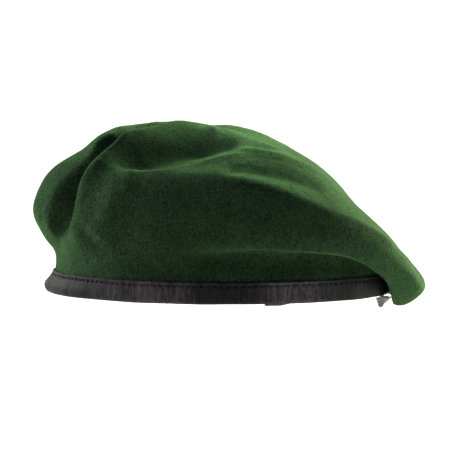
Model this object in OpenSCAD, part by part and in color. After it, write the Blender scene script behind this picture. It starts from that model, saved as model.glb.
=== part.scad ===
// Military beret: a seamless felted crown pulled down to the wearer's right and back, a leather
// binding with a drawstring round the head opening, a lining, a badge stiffener and vent eyelets.
// Frame: the origin is the centre of the head opening, in the plane of the binding's bottom edge.
// -X is the wearer's front, +X the back, -Y the wearer's left, +Y the wearer's right, +Z up.

/* [Head opening] */
// Inside length of the head opening, front to back
head_length = 195; // [190:1:200]
// Inside width of the head opening
head_width = 165; // [161:1:169]

/* [Felt] */
// Thickness of the felted wool
felt_t = 2.3; // [2:0.1:2.4]

/* [Binding] */
// Thickness of the leather strip
leather_t = 1.0; // [0.8:0.1:1.1]
// Height of the binding's outer leaf
outer_leaf_h = 12.5; // [12:0.1:12.8]
// Height of the binding's inner leaf, the sweatband
inner_leaf_h = 14; // [13:0.5:15]

/* [Drawstring] */
// Height of the flat drawstring tape
tape_h = 3.6; // [3:0.1:3.8]
// Length of the trimmed end nearer the wearer's left, below the knot
left_tail_length = 4.6; // [3:0.1:6]
// Length of the other trimmed end
right_tail_length = 3.8; // [3:0.1:6]

/* [Lining and stiffener] */
// Height of the lining's dome above its lower edge
lining_h = 69; // [60:1:70]
// Thickness of the lining
lining_t = 0.8; // [0.6:0.1:1]
// Thickness of the badge stiffener
stiffener_t = 1.4; // [1:0.1:1.5]

/* [Hidden] */

felt_green = [0.10, 0.30, 0.13];
leather_black = [0.09, 0.09, 0.10];
thread_black = [0.05, 0.05, 0.06];
cotton_black = [0.07, 0.08, 0.08];
tape_grey = [0.45, 0.42, 0.47];
label_white = [0.80, 0.80, 0.76];
brass_black = [0.12, 0.12, 0.12];

// The crown's shape: one row per station round the head. Each row holds the station's angle
// (0 = back, 90 = wearer's right, 180 = front, 270 = wearer's left), then [radius, height] on six
// rings: where the felt leaves the binding, the lowest part of the rolled rim, the outermost part
// of the rim, where the side turns into the top, the step behind that, and halfway to the apex.
// The rows at 191, 204 and 214 degrees make the deep fold between the front and left lobes.
STATIONS = [
    [  0, [106, 16], [110, -8], [122,  2], [112, 19], [ 89, 42], [ 55, 75.5]],
    [ 30, [102, 16], [109, -8], [122,  2], [112, 21], [ 87, 48], [ 54, 81.5]],
    [ 62, [ 97, 16], [109, -7], [123,  6], [112, 32], [ 84, 63], [ 50, 91.5]],
    [ 92, [ 93, 17], [107, -4], [124, 12], [108, 44], [ 80, 73], [ 46, 92]],
    [122, [ 96, 18], [108, 10], [121, 28], [104, 60], [ 80, 82], [ 50, 96]],
    [150, [100, 20], [108, 26], [114, 44], [102, 68], [ 84, 84], [ 58, 97]],
    [176, [101, 22], [107, 31], [111, 49.5], [102, 69], [ 84, 81], [ 60, 96]],
    [191, [ 99.5, 20], [ 96, 31], [ 89, 49], [ 84, 65], [ 75, 78], [ 57, 94]],
    [204, [ 97.5, 20], [ 97, 34], [ 78, 52], [ 66, 67], [ 54, 74], [ 44, 87]],
    [214, [ 95, 20], [ 98, 36], [ 95, 53], [ 90, 72], [ 77, 84], [ 56, 96]],
    [228, [ 91.5, 20], [ 92, 38], [ 91, 56], [ 85, 68.5], [ 67, 74], [ 42, 87]],
    [250, [ 87, 20], [ 90, 38], [ 90, 56], [ 83, 70.3], [ 62, 75], [ 34, 86]],
    [272, [ 87, 22], [ 92, 37], [ 93, 54.5], [ 87, 71], [ 61, 80], [ 34, 89.5]],
    [292, [ 88, 26], [100, 31.5], [103, 45], [ 96, 63.5], [ 70, 80.5], [ 46, 90]],
    [312, [ 92, 25], [107, 27], [111, 39], [102, 54], [ 83, 70], [ 59, 83]],
    [332, [ 98, 20], [110, 10], [117, 21], [109, 36], [ 88, 54], [ 61, 75]],
    [348, [106, 16], [108, -6], [121,  3], [111, 20], [ 88, 42], [ 57, 73.5]],
];
APEX = [-4, 12, 97.2];

// Rows of the crown's grid, from the felt's edge inside the binding to the apex.
EDGE_ROW = 0;
NECK_ROW = 1;
APEX_ROW = 8;
edge_z = 5.5; // bottom edge of the felt, above the drawstring channel
neck_z = 13; // just above the binding
column_count = 68;
row_steps = [1, 2, 3, 3, 3, 3, 3, 3]; // grid rows from each row of the shape to the next

channel_w = 3; // between the two leaves of the binding
binding_t = 2*leather_t + channel_w;
felt_out = leather_t + channel_w/2 + felt_t/2; // the felt's outer face, out from the head opening
touch = 0.03; // clearance between pieces that rest on each other

// Places round the head opening, as ellipse parameters in degrees
rear_joint = -22.2; // where the strips' ends meet and the drawstring comes out
rear_gap = 2.4; // half the gap between them
side_seam = -70.2; // where the two strips are pieced together
lap = 4.8; // how far the short strip laps over the long one
facet = 2.4; // one straight facet of the oval
round_fine = 48; // sides of the knot and the eyelets
round_small = 24; // sides of a stitch and of a tail's upper edge

stitch_z = 10.4;
stitch_length = 2.6;
stitch_w = 0.7;
stitch_t = 0.35;
lap_stitch_z = [1.2, 4.24, 7.28]; // lower ends of the stitches through the lap

tape_t = 0.9;
tape_in = leather_t + 1; // the tape's inner face
tape_z = leather_t + 0.1;
lead_side = 1.5; // from the joint to each of the tape's ends, which lead down to the knot
lead_w = 1.2;
lead_start = 0.8; // angle from the joint to where the tape turns into its ends
knot_out = binding_t + 0.2;
knot_z = -1.9;
knot_r = 1.5;
knot_half = 4.2;
tail_side = 2.4; // along the knot, from its middle to a tail
tail_z = -3.9; // the line that a tail swings about
tail_t = 0.8;
tail_w = 5;
tail_tip_w = 2.2;
tail_tip_in = 1; // from the tail's side to its tip
tail_slant = 0.4; // where its slanted cut starts, as a part of its length

stiffener_depth = felt_t + 0.6;
stiffener_across = [9.1, 10.9]; // its stations
stiffener_up = [2.35, 4.8]; // and its rows
lining_z = 12.5; // the lining's lower edge
lining_gap = 0.1; // between the lining and the sweatband
lining_squareness = 1.7; // 2 would be an ellipsoid
lining_seam = 38; // how far up the dome its side is sewn to its crown, of 90
label_from = [6, 22]; // the label's lower corner on the dome
label_to = [26, 33]; // and its upper one
label_depth = lining_t + 0.45;
label_t = 0.4;
tack_margin = [1, 1.5]; // from the label's edges to its tacks
tack_lift = 0.4; // from the label to its tacks

eyelet_front_place = [3.72, 4.3];
eyelet_rear_place = [3.16, 4.3];
eyelet_bore = 2.2;
eyelet_barrel = 2.8;
eyelet_flange = 4.6;
eyelet_seat = 0.7; // depth of the flat that the flange sits on
eyelet_clinch = 1.1; // from the felt's inner face to the washer
brass_t = 0.5;

// ---- Curves and surfaces ----

function spline(a, b, c, d, t) =
    (2*b + (c - a)*t + (2*a - 5*b + 4*c - d)*t*t + (3*b - a - 3*c + d)*t*t*t)/2;
function unit(v) = v/norm(v);

function station(i) = STATIONS[(i + len(STATIONS)) % len(STATIONS)];
function station_angle(i) = station(i)[0] + 360*floor(i/len(STATIONS));
function angle_at(s) =
    let (i = floor(s), t = s - i)
    spline(station_angle(i - 1), station_angle(i), station_angle(i + 1), station_angle(i + 2), t);
function ring_at(ring, s) =
    let (i = floor(s), t = s - i)
    spline(station(i - 1)[ring], station(i)[ring], station(i + 1)[ring], station(i + 2)[ring], t);

function polar(r, angle, z) = [r*cos(angle), r*sin(angle), z];
function oval_radius(off, angle) =
    let (a = head_length/2 + off, b = head_width/2 + off)
    a*b/sqrt(pow(b*cos(angle), 2) + pow(a*sin(angle), 2));

// A point of one of the shape's rows, at station s
function row_point(row, s) =
    row < EDGE_ROW ? 2*row_point(EDGE_ROW, s) - row_point(NECK_ROW, s) :
    row == EDGE_ROW ? polar(oval_radius(felt_out, angle_at(s)), angle_at(s), edge_z) :
    row == NECK_ROW ? polar(oval_radius(felt_out, angle_at(s)), angle_at(s), neck_z) :
    row == APEX_ROW ? APEX :
    row > APEX_ROW ? row_point(APEX_ROW - 1, (s + len(STATIONS)/2) % len(STATIONS)) :
    let (rz = ring_at(row - 1, s)) polar(rz[0], angle_at(s), rz[1]);

// The crown's outer face at station s and row u, both real numbers
function skin(s, u) =
    let (k = min(floor(u), APEX_ROW - 1), t = u - k)
    spline(row_point(k - 1, s), row_point(k, s), row_point(k + 1, s), row_point(k + 2, s), t);
function skin_normal(s, u) =
    let (d = 0.02)
    unit(cross(skin(s + d, u) - skin(s - d, u), skin(s, u + d) - skin(s, max(u - d, 0))));
function inset(s, u, depth) = skin(s, u) - depth*skin_normal(s, u);

// The lining's dome: phi goes round it, rise goes from 0 at its lower edge to 90 at its top
function dome(phi, rise, depth) =
    let (p = 2/lining_squareness, a = head_length/2 - lining_gap - depth,
         b = head_width/2 - lining_gap - depth, r = pow(cos(rise), p))
    [a*r*cos(phi), b*r*sin(phi), lining_z + (lining_h - depth)*pow(sin(rise), p)];
function dome_normal(phi, rise) =
    unit(cross(dome(phi + 1, rise, 0) - dome(phi - 1, rise, 0),
               dome(phi, rise + 1, 0) - dome(phi, rise - 1, 0)));

// A point of the oval round the head opening, and the direction that faces out of it there
function oval(off, phi) = [(head_length/2 + off)*cos(phi), (head_width/2 + off)*sin(phi)];
function oval_out(phi) = atan2(head_length*sin(phi), head_width*cos(phi));

// ---- Cloth: solids between an outer and an inner grid of points, n to a row ----

function quad(a, b, row) = [[a, a + row, b + row], [a, b + row, b]];
function edge(a, b, other) = [[a, b, b + other], [a, b + other, a + other]];
function faces_out(n, m, closed) =
    [for (j = [0:m - 2], i = [0:closed ? n - 1 : n - 2], f = quad(j*n + i, j*n + (i + 1)%n, n)) f];
function faces_in(n, m, closed, start) =
    [for (f = faces_out(n, m, closed)) [f[0] + start, f[2] + start, f[1] + start]];

// A ring, open at both ends
module cloth_ring(outer, inner, n) {
    m = len(outer)/n;
    polyhedron(points = concat(outer, inner), faces = concat(
        faces_out(n, m, true),
        faces_in(n, m, true, n*m),
        [for (i = [0:n - 1], f = edge(i, (i + 1)%n, n*m)) f],
        [for (i = [0:n - 1], f = edge((m - 1)*n + (i + 1)%n, (m - 1)*n + i, n*m)) f]));
}

// A ring closed by a tip on top
module cloth_dome(outer, outer_tip, inner, inner_tip, n) {
    m = len(outer)/n;
    last = (m - 1)*n;
    tip = n*m;
    start = n*m + 1;
    polyhedron(points = concat(outer, [outer_tip], inner, [inner_tip]), faces = concat(
        faces_out(n, m, true),
        faces_in(n, m, true, start),
        [for (i = [0:n - 1]) [last + i, tip, last + (i + 1)%n]],
        [for (i = [0:n - 1]) [start + last + (i + 1)%n, start + tip, start + last + i]],
        [for (i = [0:n - 1], f = edge(i, (i + 1)%n, start)) f]));
}

// A four-sided patch
module cloth_patch(outer, inner, n) {
    m = len(outer)/n;
    polyhedron(points = concat(outer, inner), faces = concat(
        faces_out(n, m, false),
        faces_in(n, m, false, n*m),
        [for (i = [0:n - 2], f = edge(i, i + 1, n*m)) f],
        [for (i = [0:n - 2], f = edge((m - 1)*n + i + 1, (m - 1)*n + i, n*m)) f],
        [for (j = [0:m - 2], f = edge((j + 1)*n, j*n, n*m)) f],
        [for (j = [0:m - 2], f = edge(j*n + n - 1, (j + 1)*n + n - 1, n*m)) f]));
}

function steps(from, to, n) = [for (i = [0:n]) from + (to - from)*i/n];

// ---- Solids that follow the oval of the head opening ----

// The places where one facet ends and the next begins. Both ends are exact, so that solids which
// share an end share its corners.
function facets(from, to) =
    let (n = round((to - from)/facet))
    concat([for (i = [0:n - 1]) from + (to - from)*i/n], [to]);

long_places = facets(rear_joint + rear_gap, side_seam + 360);
short_places = facets(side_seam, rear_joint - rear_gap);
lap_places = facets(side_seam - lap, side_seam);
loop_places = facets(rear_joint + lead_start, rear_joint + 360 - lead_start);

module oval_sector(off, thickness, z, height, angles) {
    translate([0, 0, z])
        linear_extrude(height)
            polygon(concat([for (p = angles) oval(off + thickness, p)],
                           [for (i = [len(angles) - 1:-1:0]) oval(off, angles[i])]));
}

// Puts X along the outward direction at a place on the oval, and Y along the oval
module at_oval(off, phi) {
    translate(oval(off, phi)) rotate(oval_out(phi)) children();
}

// A strip of leather folded over the felt's edge: inner leaf, fold and outer leaf
module folded_strip(angles) {
    oval_sector(0, leather_t, 0, inner_leaf_h, angles);
    oval_sector(0, binding_t, 0, leather_t, angles);
    oval_sector(binding_t - leather_t, leather_t, 0, outer_leaf_h, angles);
}

// One stitch for each facet of the oval, from face `off` outwards
module stitch_row(off, angles) {
    for (i = [0:len(angles) - 2]) {
        a = oval(off, angles[i]);
        b = oval(off, angles[i + 1]);
        translate([(a[0] + b[0])/2, (a[1] + b[1])/2, stitch_z - stitch_w/2])
            rotate(atan2(b[1] - a[1], b[0] - a[0]) - 90)
                translate([0, -stitch_length/2, 0]) cube([stitch_t, stitch_length, stitch_w]);
    }
}

// Puts Z along a surface's normal n at its point p
module on_surface(p, n) {
    translate(p) rotate([0, acos(n[2]), atan2(n[1], n[0])]) children();
}

module on_crown(place) {
    on_surface(skin(place[0], place[1]), skin_normal(place[0], place[1])) children();
}

// ---- The crown and what is inside it ----

function column_stations() = [for (i = [0:column_count - 1]) i*len(STATIONS)/column_count];
function crown_rows() =
    [for (k = [0:APEX_ROW - 1], j = [0:row_steps[k] - 1]) k + j/row_steps[k]];

module crown_shell() {
    color(felt_green)
        difference() {
            cloth_dome([for (u = crown_rows(), s = column_stations()) skin(s, u)], APEX,
                       [for (u = crown_rows(), s = column_stations()) inset(s, u, felt_t)],
                       APEX - [0, 0, felt_t], column_count);
            for (place = [eyelet_front_place, eyelet_rear_place])
                on_crown(place) {
                    translate([0, 0, -felt_t - 3])
                        cylinder(r = eyelet_barrel + 0.2, h = felt_t + 5, $fn = round_fine);
                    translate([0, 0, -eyelet_seat])
                        cylinder(r = eyelet_flange + 0.3, h = eyelet_seat + 2, $fn = round_fine);
                }
        }
}

// A stiff patch behind the felt, where a badge is pinned
module badge_stiffener() {
    across = steps(stiffener_across[0], stiffener_across[1], 9);
    up = steps(stiffener_up[0], stiffener_up[1], 12);
    color(cotton_black)
        cloth_patch([for (u = up, s = across) inset(s, u, stiffener_depth)],
                    [for (u = up, s = across) inset(s, u, stiffener_depth + stiffener_t)],
                    len(across));
}

lining_columns = [for (i = [0:column_count - 1]) i*360/column_count];

module lining_side() {
    rises = steps(0, lining_seam - 0.3, 6);
    color(cotton_black)
        cloth_ring([for (rise = rises, phi = lining_columns) dome(phi, rise, 0)],
                   [for (rise = rises, phi = lining_columns) dome(phi, rise, lining_t)], column_count);
}

module lining_crown() {
    rises = steps(lining_seam, 84, 6);
    color(cotton_black)
        cloth_dome([for (rise = rises, phi = lining_columns) dome(phi, rise, 0)], dome(0, 90, 0),
                   [for (rise = rises, phi = lining_columns) dome(phi, rise, lining_t)],
                   dome(0, 90, lining_t), column_count);
}

module size_label() {
    across = steps(label_from[0], label_to[0], 6);
    up = steps(label_from[1], label_to[1], 3);
    color(label_white)
        cloth_patch([for (rise = up, phi = across) dome(phi, rise, label_depth)],
                    [for (rise = up, phi = across) dome(phi, rise, label_depth + label_t)],
                    len(across));
}

// Tacks along the label's two short sides
module label_stitches() {
    color(thread_black)
        for (phi = [label_from[0] + tack_margin[0], label_to[0] - tack_margin[0]],
             rise = steps(label_from[1] + tack_margin[1], label_to[1] - tack_margin[1], 3))
            on_surface(dome(phi, rise, label_depth + label_t), dome_normal(phi, rise))
                translate([0, 0, -tack_lift - stitch_t])
                    cylinder(d = stitch_w, h = stitch_t, $fn = round_small);
}

// ---- The binding ----

module binding_long_strip() {
    color(leather_black) folded_strip(long_places);
}

// Its forward end laps over the long strip's end
module binding_short_strip() {
    color(leather_black) {
        folded_strip(short_places);
        oval_sector(binding_t, leather_t + touch, 0, outer_leaf_h, [short_places[0], short_places[1]]);
        oval_sector(binding_t + touch, leather_t, 0, outer_leaf_h, lap_places);
    }
}

module needle_thread_stitches() {
    color(thread_black) {
        stitch_row(binding_t + touch, facets(rear_joint + rear_gap, side_seam - lap + 360));
        stitch_row(binding_t + touch, facets(side_seam + facet, rear_joint - rear_gap));
    }
}

module bobbin_thread_stitches() {
    color(thread_black) {
        stitch_row(-touch - stitch_t, long_places);
        stitch_row(-touch - stitch_t, short_places);
    }
}

// Upright stitches through the lap
module lap_stitches() {
    color(thread_black)
        for (z = lap_stitch_z)
            at_oval(binding_t + leather_t + 3*touch, side_seam - lap*0.6)
                translate([0, -stitch_w/2, z]) cube([stitch_t, stitch_w, stitch_length]);
}

// ---- The drawstring ----

// The tape in its channel, and the two ends that run down to the knot
module drawstring_loop() {
    tape_out = tape_in + tape_t;
    tape_top = tape_z + tape_h;
    color(tape_grey) {
        oval_sector(tape_in, tape_t, tape_z, tape_h, loop_places);
        for (side = [-1, 1])
            at_oval(0, rear_joint)
                translate([0, side*lead_side + lead_w/2, 0])
                    rotate([90, 0, 0])
                        linear_extrude(lead_w)
                            polygon([[tape_in, tape_top], [tape_out, tape_top], [tape_out, tape_z + 0.5],
                                     [knot_out - 0.2, knot_z + 0.9], [knot_out - 1.1, knot_z + 0.3],
                                     [tape_in, tape_z]]);
    }
}

module at_knot() {
    at_oval(knot_out, rear_joint) translate([0, 0, knot_z]) children();
}

module drawstring_knot() {
    color(tape_grey)
        at_knot()
            rotate([90, 0, 0])
                rotate_extrude($fn = round_fine)
                    polygon([for (a = [-90:15:90]) [knot_r*sqrt(max(0, cos(a))), knot_half*sin(a)]]);
}

// A trimmed end: it hangs from a rounded edge, and its tip is cut on a slant
module drawstring_tail(side, length) {
    place = oval(knot_out, rear_joint);
    along = oval_out(rear_joint) + 90;
    color(tape_grey)
        translate([place[0] + side*tail_side*cos(along), place[1] + side*tail_side*sin(along), tail_z]) {
            translate([-tail_w/2, 0, 0])
                rotate([0, 90, 0])
                    cylinder(d = tail_t, h = tail_w, $fn = round_small);
            translate([0, tail_t/2, 0])
                rotate([90, 0, 0])
                    linear_extrude(tail_t)
                        polygon([[-tail_w/2, 0], [tail_tip_in - tail_w/2, -length],
                                 [tail_tip_in + tail_tip_w - tail_w/2, -length],
                                 [tail_w/2, -length*tail_slant], [tail_w/2, 0]]);
        }
}

module drawstring_tail_left() {
    drawstring_tail(-1, left_tail_length);
}

module drawstring_tail_right() {
    drawstring_tail(1, right_tail_length);
}

// ---- The vents ----

// A flanged barrel through the felt
module vent_eyelet(place) {
    color(brass_black)
        on_crown(place)
            difference() {
                union() {
                    translate([0, 0, touch - eyelet_seat])
                        cylinder(r = eyelet_flange, h = brass_t, $fn = round_fine);
                    translate([0, 0, -felt_t - eyelet_clinch - brass_t - 0.1])
                        cylinder(r = eyelet_barrel, h = felt_t + eyelet_clinch + brass_t, $fn = round_fine);
                }
                translate([0, 0, -felt_t - 4]) cylinder(r = eyelet_bore, h = felt_t + 6, $fn = round_fine);
            }
}

// The washer that it is clinched over, on the inside
module eyelet_washer(place) {
    color(brass_black)
        on_crown(place)
            translate([0, 0, -felt_t - eyelet_clinch - brass_t])
                difference() {
                    cylinder(r = eyelet_flange, h = brass_t, $fn = round_fine);
                    translate([0, 0, -1])
                        cylinder(r = eyelet_barrel + touch, h = brass_t + 2, $fn = round_fine);
                }
}

crown_shell();
badge_stiffener();
lining_side();
lining_crown();
size_label();
label_stitches();
binding_long_strip();
binding_short_strip();
needle_thread_stitches();
bobbin_thread_stitches();
lap_stitches();
drawstring_loop();
drawstring_knot();
drawstring_tail_left();
drawstring_tail_right();
vent_eyelet(eyelet_front_place);  // vent_eyelet_front
vent_eyelet(eyelet_rear_place);  // vent_eyelet_rear
eyelet_washer(eyelet_front_place);  // eyelet_washer_front
eyelet_washer(eyelet_rear_place);  // eyelet_washer_rear
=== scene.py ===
"""The looks of a military beret: a felt crown, a leather drawstring binding, a lining and two vents.

Lengths are in millimetres, as in the CAD source, until a mesh is made: new_mesh() turns them into metres.
The frame is the CAD's. The origin is the centre of the head opening, in the plane of the binding's
bottom edge. -X is the wearer's front, -Y the wearer's left and +Z up.
"""

import math

import bpy
import numpy as np
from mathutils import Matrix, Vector, noise


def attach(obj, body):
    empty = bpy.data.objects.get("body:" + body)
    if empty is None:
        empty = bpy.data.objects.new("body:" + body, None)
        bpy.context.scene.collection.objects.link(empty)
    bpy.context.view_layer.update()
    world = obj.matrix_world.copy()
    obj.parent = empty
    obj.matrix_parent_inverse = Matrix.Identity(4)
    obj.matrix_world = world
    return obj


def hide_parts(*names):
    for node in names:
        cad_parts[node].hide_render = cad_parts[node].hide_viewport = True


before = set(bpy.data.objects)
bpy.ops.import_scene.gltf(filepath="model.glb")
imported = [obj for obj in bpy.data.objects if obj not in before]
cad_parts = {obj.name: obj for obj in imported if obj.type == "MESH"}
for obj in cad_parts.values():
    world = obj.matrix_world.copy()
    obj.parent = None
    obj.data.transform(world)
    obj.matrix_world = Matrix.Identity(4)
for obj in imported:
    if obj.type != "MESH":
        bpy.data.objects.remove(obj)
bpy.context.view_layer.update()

MM = 0.001
HAT = "hat"

# ---- Driving dimensions, as in the CAD source ----

HEAD_LENGTH = 195
HEAD_WIDTH = 165
FELT_T = 2.3
LEATHER_T = 1.0
CHANNEL_W = 3
OUTER_LEAF_H = 12.5
INNER_LEAF_H = 14
BINDING_T = 2 * LEATHER_T + CHANNEL_W
FELT_OUT = LEATHER_T + CHANNEL_W / 2 + FELT_T / 2
EDGE_Z = 5.5
NECK_Z = 13
STITCH_Z = 10.4
STITCH_PITCH = 3.8
REAR_JOINT = -22.2
REAR_GAP = 0.7
SIDE_SEAM = -70.2
LAP = 4.8
LINING_H = 69
LINING_T = 0.8
LINING_Z = 12.5
LINING_SQUARENESS = 1.7
LINING_SEAM = 38

# One row per station round the head: its angle, then [radius, height] on the rings under, low, rim,
# shoulder, terrace and top. They are the CAD source's, but for the four at the back lobe, 332 to 30,
# which differ from it by up to 4.
STATIONS = [
    [0, [106, 16], [110, -6.5], [122, 4], [112, 19.5], [89, 42], [55, 75.5]],
    [30, [102, 16], [109, -5], [122, 3], [112, 21], [87, 48], [54, 81.5]],
    [62, [97, 16], [109, -7], [123, 6], [112, 32], [84, 63], [50, 91.5]],
    [92, [93, 17], [107, -4], [124, 12], [108, 44], [80, 73], [46, 92]],
    [122, [96, 18], [108, 10], [121, 28], [104, 60], [80, 82], [50, 96]],
    [150, [100, 20], [108, 26], [114, 44], [102, 68], [84, 84], [58, 97]],
    [176, [101, 22], [107, 31], [111, 49.5], [102, 69], [84, 81], [60, 96]],
    [191, [99.5, 20], [96, 31], [89, 49], [84, 65], [75, 78], [57, 94]],
    [204, [97.5, 20], [97, 34], [78, 52], [66, 67], [54, 74], [44, 87]],
    [214, [95, 20], [98, 36], [95, 53], [90, 72], [77, 84], [56, 96]],
    [228, [91.5, 20], [92, 38], [91, 56], [85, 68.5], [67, 74], [42, 87]],
    [250, [87, 20], [90, 38], [90, 56], [83, 70.3], [62, 75], [34, 86]],
    [272, [87, 22], [92, 37], [93, 54.5], [87, 71], [61, 80], [34, 89.5]],
    [292, [88, 26], [100, 31.5], [103, 45], [96, 63.5], [70, 80.5], [46, 90]],
    [312, [92, 25], [107, 27], [111, 39], [102, 54], [83, 70], [59, 83]],
    [332, [98, 20], [107.5, 11], [116.5, 21], [109, 36], [88, 54], [61, 75]],
    [348, [105, 16], [104, -5.5], [121, 4], [111, 20], [88, 42], [57, 73.5]],
]
APEX = (-4, 12, 97.2)
APEX_ROW = 8
LIP_ROW = 3
LIP_STATIONS = (12, 16.6)
CRISPNESS = 0.45
# Each vent's place on the crown: its station and its row.
VENTS = [(3.72, 4.3), (3.16, 4.3)]


# ---- Curves and surfaces, on arrays of numbers ----


def spline(a, b, c, d, t):
    return (2 * b + (c - a) * t + (2 * a - 5 * b + 4 * c - d) * t * t + (3 * b - a - 3 * c + d) * t**3) / 2


def smooth(x):
    """0 below 0, 1 above 1, and a smooth step between them."""
    x = np.clip(x, 0, 1)
    return x * x * (3 - 2 * x)


def unit(v):
    return v / np.maximum(np.linalg.norm(v, axis=-1, keepdims=True), 1e-9)


def round_the_head(values, s, turn=0.0):
    """The spline through one value for each station, at the places s. turn is what a whole round adds."""
    values = np.array(values, float)
    n = len(values)
    i = np.floor(s).astype(int)
    t = s - i

    def at(k):
        return values[k % n] + turn * (k // n)

    return spline(at(i - 1), at(i), at(i + 1), at(i + 2), t)


def oval(off, phi):
    """Points off outside the head opening's oval, at ellipse parameters phi in degrees."""
    phi = np.radians(phi)
    return np.stack([(HEAD_LENGTH / 2 + off) * np.cos(phi), (HEAD_WIDTH / 2 + off) * np.sin(phi)], -1)


def oval_radius(off, angle):
    a, b = HEAD_LENGTH / 2 + off, HEAD_WIDTH / 2 + off
    return a * b / np.sqrt((b * np.cos(angle)) ** 2 + (a * np.sin(angle)) ** 2)


def oval_out(phi):
    """The unit vectors that face out of the oval."""
    phi = np.radians(phi)
    return unit(np.stack([HEAD_WIDTH * np.cos(phi), HEAD_LENGTH * np.sin(phi)], -1))


def crown_rows(s):
    """The crown's nine rows of points at the stations s: felt's edge, neck, six rings and apex."""
    angle = np.radians(round_the_head([row[0] for row in STATIONS], s, turn=360.0))
    rows = []
    for z in (EDGE_Z, NECK_Z):
        r = oval_radius(FELT_OUT, angle)
        rows.append(np.stack([r * np.cos(angle), r * np.sin(angle), np.full_like(r, z)], -1))
    for ring in range(1, 7):
        r = round_the_head([row[ring][0] for row in STATIONS], s)
        z = round_the_head([row[ring][1] for row in STATIONS], s)
        rows.append(np.stack([r * np.cos(angle), r * np.sin(angle), z], -1))
    rows.append(np.tile(np.array(APEX, float), (len(s), 1)))
    return rows


def skin(s, u):
    """The crown's outer face as a grid of points, one row for each of u and one column for each of s."""
    rows = crown_rows(s)
    across = crown_rows((s + len(STATIONS) / 2) % len(STATIONS))[APEX_ROW - 1]
    rows = [2 * rows[0] - rows[1]] + rows + [across]
    grid = []
    for v in u:
        k = min(int(v), APEX_ROW - 1)
        curved = spline(rows[k], rows[k + 1], rows[k + 2], rows[k + 3], v - k)
        straight = rows[k + 1] + (rows[k + 2] - rows[k + 1]) * (v - k)
        grid.append(curved + (straight - curved) * crisp(s, v)[:, None])
    return np.array(grid)


def crisp(s, v):
    """How crisply the crown turns at the stations s on row v: its rear left overhangs in a thin lip."""
    start, end = LIP_STATIONS
    near_lip = math.exp(-(((v - LIP_ROW) / 0.7) ** 2))
    return CRISPNESS * smooth((s - start) / 1.5) * smooth((end - s) / 1.2) * near_lip


def grid_normals(grid):
    """Outward normals of a grid that closes round its columns."""
    along = np.roll(grid, -1, 1) - np.roll(grid, 1, 1)
    up = np.gradient(grid, axis=0)
    return unit(np.cross(along, up))


def rough(points, size, seed=0.0):
    """Smooth noise from -1 to 1 with bumps of that size, at each point."""
    flat = points.reshape(-1, 3) / size + seed
    return np.array([noise.noise(Vector(p)) for p in flat]).reshape(points.shape[:-1])


def lean(points):
    """At the front the binding leans back, so what is above its bottom edge moves towards the head."""
    x, y, z = points[..., 0], points[..., 1], points[..., 2]
    front = np.clip(-x / np.maximum(np.hypot(x, y), 1), 0, 1) ** 5
    high = np.clip(z / OUTER_LEAF_H, -0.1, 1) * (1 - smooth((z - 16) / 30))
    moved = points.copy()
    moved[..., 0] += 4.2 * front * high
    return moved


# ---- Meshes ----


def new_mesh(name, points, faces):
    mesh = bpy.data.meshes.new(name)
    mesh.from_pydata((np.asarray(points, float).reshape(-1, 3) * MM).tolist(), [], faces)
    mesh.polygons.foreach_set("use_smooth", [True] * len(mesh.polygons))
    mesh.update()
    piece = bpy.data.objects.new(name, mesh)
    bpy.context.scene.collection.objects.link(piece)
    return piece


def grid_faces(rows, columns, start=0, wrap=True, flip=False):
    """Quads of a grid of points, numbered row by row."""
    faces = []
    for j in range(rows - 1):
        for i in range(columns if wrap else columns - 1):
            a = start + j * columns + i
            b = start + j * columns + (i + 1) % columns
            quad = (a, b, b + columns, a + columns)
            faces.append(quad[::-1] if flip else quad)
    return faces


def fan_faces(row_start, columns, tip, flip=False):
    faces = [(row_start + i, row_start + (i + 1) % columns, tip) for i in range(columns)]
    return [f[::-1] for f in faces] if flip else faces


def cloth_dome(name, outer, outer_tip, inner, inner_tip):
    """A dome of cloth, open below: two grids of points with the same number of columns."""
    rows, columns = outer.shape[:2]
    rows_in = inner.shape[0]
    start = rows * columns + 1
    points = np.vstack([outer.reshape(-1, 3), [outer_tip], inner.reshape(-1, 3), [inner_tip]])
    faces = grid_faces(rows, columns)
    faces += fan_faces((rows - 1) * columns, columns, rows * columns)
    faces += grid_faces(rows_in, columns, start, flip=True)
    faces += fan_faces(start + (rows_in - 1) * columns, columns, start + rows_in * columns, flip=True)
    faces += [(i, start + i, start + (i + 1) % columns, (i + 1) % columns) for i in range(columns)]
    return new_mesh(name, points, faces)


def cloth_ring(name, outer, inner):
    """A ring of cloth, open above and below."""
    rows, columns = outer.shape[:2]
    start = rows * columns
    top = (rows - 1) * columns
    faces = grid_faces(rows, columns) + grid_faces(rows, columns, start, flip=True)
    for i in range(columns):
        j = (i + 1) % columns
        faces.append((i, start + i, start + j, j))
        faces.append((top + j, start + top + j, start + top + i, top + i))
    return new_mesh(name, np.vstack([outer.reshape(-1, 3), inner.reshape(-1, 3)]), faces)


def cloth_patch(name, outer, inner):
    """A patch of cloth with four edges."""
    rows, columns = outer.shape[:2]
    start = rows * columns
    top = (rows - 1) * columns
    faces = grid_faces(rows, columns, wrap=False) + grid_faces(rows, columns, start, wrap=False, flip=True)
    for i in range(columns - 1):
        faces.append((i, start + i, start + i + 1, i + 1))
        faces.append((top + i + 1, start + top + i + 1, start + top + i, top + i))
    for j in range(rows - 1):
        a, b = j * columns, (j + 1) * columns
        faces.append((b, start + b, start + a, a))
        faces.append((a + columns - 1, start + a + columns - 1, start + b + columns - 1, b + columns - 1))
    return new_mesh(name, np.vstack([outer.reshape(-1, 3), inner.reshape(-1, 3)]), faces)


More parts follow.
